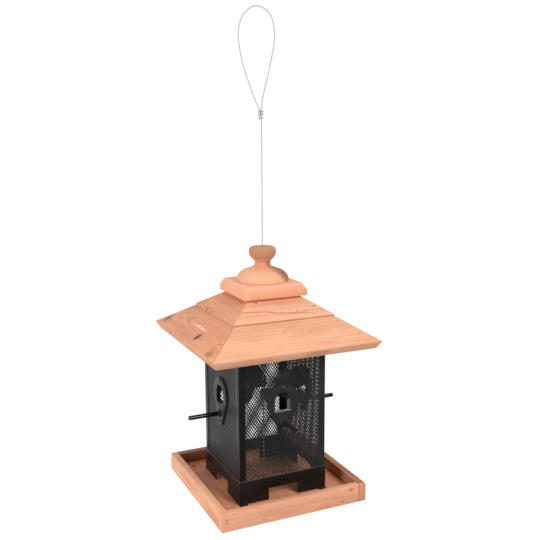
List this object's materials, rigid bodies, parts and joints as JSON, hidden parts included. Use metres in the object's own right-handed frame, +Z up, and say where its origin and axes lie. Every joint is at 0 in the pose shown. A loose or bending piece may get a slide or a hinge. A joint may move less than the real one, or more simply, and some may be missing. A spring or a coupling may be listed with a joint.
{
  "type": "silo bird feeder",
  "caption": "Hanging silo bird feeder: black mesh seed silo with ports and perches on a cedar tray, under a tiered cedar pagoda roof with a turned finial, on a looped steel cable",
  "frame": {"origin": "centre of the tray's underside", "axes": "+Z up along the hanging cable, -Y towards the front port, +X to the right"},
  "size_m": [0.271, 0.271, 0.7499],
  "materials": {
    "cedar": "unfinished",
    "black_steel": "satin",
    "black_plastic": "matte",
    "bright_steel": "satin"
  },
  "bodies": {
    "base": {"tray_floor": "cedar", "tray_rail_front": "cedar", "tray_rail_right": "cedar", "tray_rail_back": "cedar", "tray_rail_left": "cedar", "tray_brads": "bright_steel", "base_skirt": "black_steel", "skirt_screws": "black_steel", "corner_post_front_left": "black_steel", "corner_post_front_right": "black_steel", "corner_post_back_right": "black_steel", "corner_post_back_left": "black_steel", "top_rim": "black_steel", "mesh_panel_front": "black_steel", "mesh_panel_right": "black_steel", "mesh_panel_back": "black_steel", "mesh_panel_left": "black_steel", "port_plate_front": "black_plastic", "port_plate_right": "black_plastic", "port_plate_back": "black_plastic", "port_plate_left": "black_plastic", "port_hood_front": "black_plastic", "port_hood_right": "black_plastic", "port_hood_back": "black_plastic", "port_hood_left": "black_plastic", "perch_front": "black_plastic", "perch_right": "black_plastic", "perch_back": "black_plastic", "perch_left": "black_plastic", "port_screws": "black_steel", "hanging_cable": "bright_steel", "cable_ferrule": "bright_steel", "cable_stop": "bright_steel", "stop_washer": "bright_steel"},
    "roof": {"roof_bar_front": "cedar", "roof_bar_right": "cedar", "roof_bar_back": "cedar", "roof_bar_left": "cedar", "lower_board_front": "cedar", "lower_board_right": "cedar", "lower_board_back": "cedar", "lower_board_left": "cedar", "upper_board_front": "cedar", "upper_board_right": "cedar", "upper_board_back": "cedar", "upper_board_left": "cedar", "roof_brads": "bright_steel", "cap_block": "cedar", "finial": "cedar"}
  },
  "joints": [
    {"name": "roof_slide", "type": "slide", "parent": "base", "child": "roof", "axis": [0, 0, 1], "range_m": [0, 0.189]}
  ]
}
